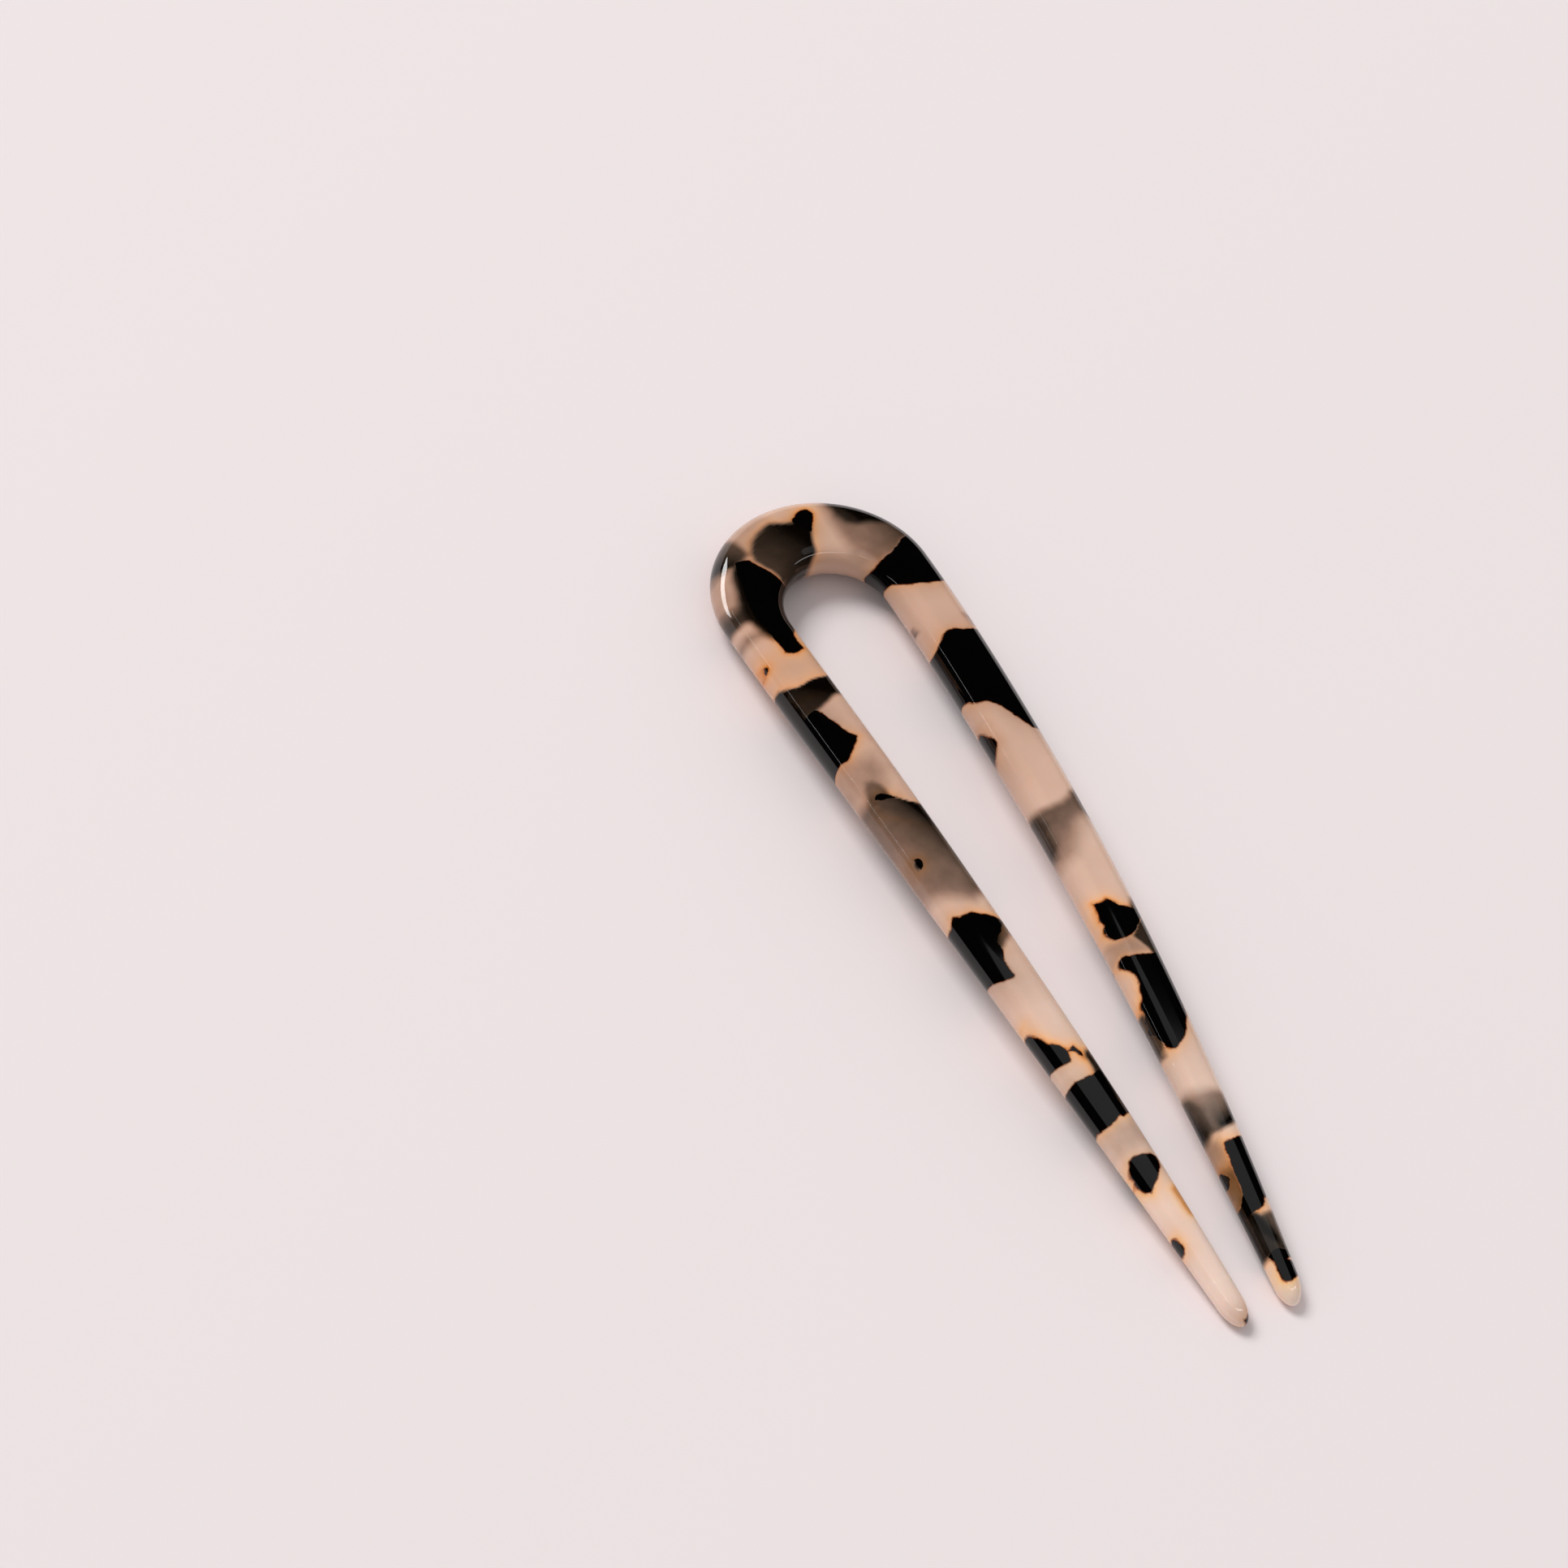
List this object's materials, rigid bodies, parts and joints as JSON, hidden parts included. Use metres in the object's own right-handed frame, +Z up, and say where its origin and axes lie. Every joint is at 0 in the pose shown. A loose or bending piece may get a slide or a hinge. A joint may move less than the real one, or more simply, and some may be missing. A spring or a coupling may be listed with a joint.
{
  "type": "french hair pin",
  "caption": "Tortoiseshell acetate french hair pin: an arched, rounded U with a wide bow and long tapering legs that grip a twist or bun of hair between them.",
  "frame": {"origin": "on the surface that the pin lies on, under the middle of its length and width", "axes": "+Y along the pin from the tips to the closed bow, +X across the pin from one leg to the other, +Z up out of the convex side of the arch"},
  "size_m": [0.0298, 0.127, 0.0092],
  "materials": {
    "tortoiseshell_acetate": "milky blond cellulose acetate with black and smoky tortoiseshell flakes, tumbled to a high polish"
  },
  "bodies": {
    "root": {"hair_pin": "tortoiseshell_acetate"}
  },
  "joints": []
}
